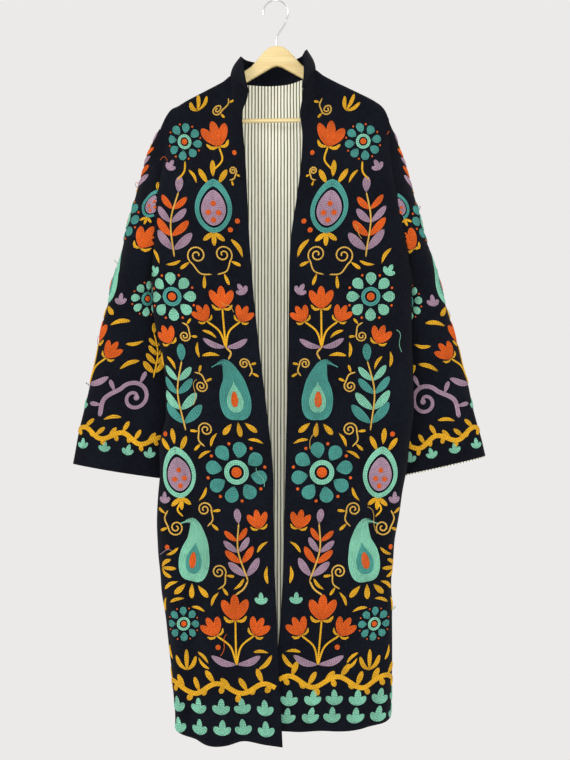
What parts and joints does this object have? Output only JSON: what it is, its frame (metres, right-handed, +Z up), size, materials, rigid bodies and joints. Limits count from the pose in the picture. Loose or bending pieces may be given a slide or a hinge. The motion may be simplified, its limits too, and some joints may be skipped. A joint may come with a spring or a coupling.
{
  "type": "long coat on a hanger",
  "caption": "Long open-front coat in dark cloth with raised wool embroidery, striped lining and a stand collar, hung on a flat wooden hanger with a wire hook.",
  "frame": {"origin": "inner top of the hanger's hook, where it rests on a rail", "axes": "+Z up, -Y out of the coat's front, +X to the right as seen from the front"},
  "size_m": [0.766, 0.1107, 1.3652],
  "materials": {
    "cloth": "plain woven wool or heavy cotton, matt",
    "lining": "cream cotton ticking with thin dark stripes",
    "embroidery": "thick wool yarn stitched in rows, several colours",
    "wood": "pale wood, satin varnish",
    "steel": "plated wire, bright"
  },
  "bodies": {
    "root": {"back": "cloth", "collar": "cloth", "front_left": "cloth", "front_right": "cloth", "sleeve_left": "cloth", "sleeve_right": "cloth", "lining_back": "lining", "lining_front_left": "lining", "lining_front_right": "lining", "lining_sleeve_left": "lining", "lining_sleeve_right": "lining", "hanger_board": "wood", "hanger_bar": "wood", "hanger_hook": "steel"}
  },
  "joints": []
}
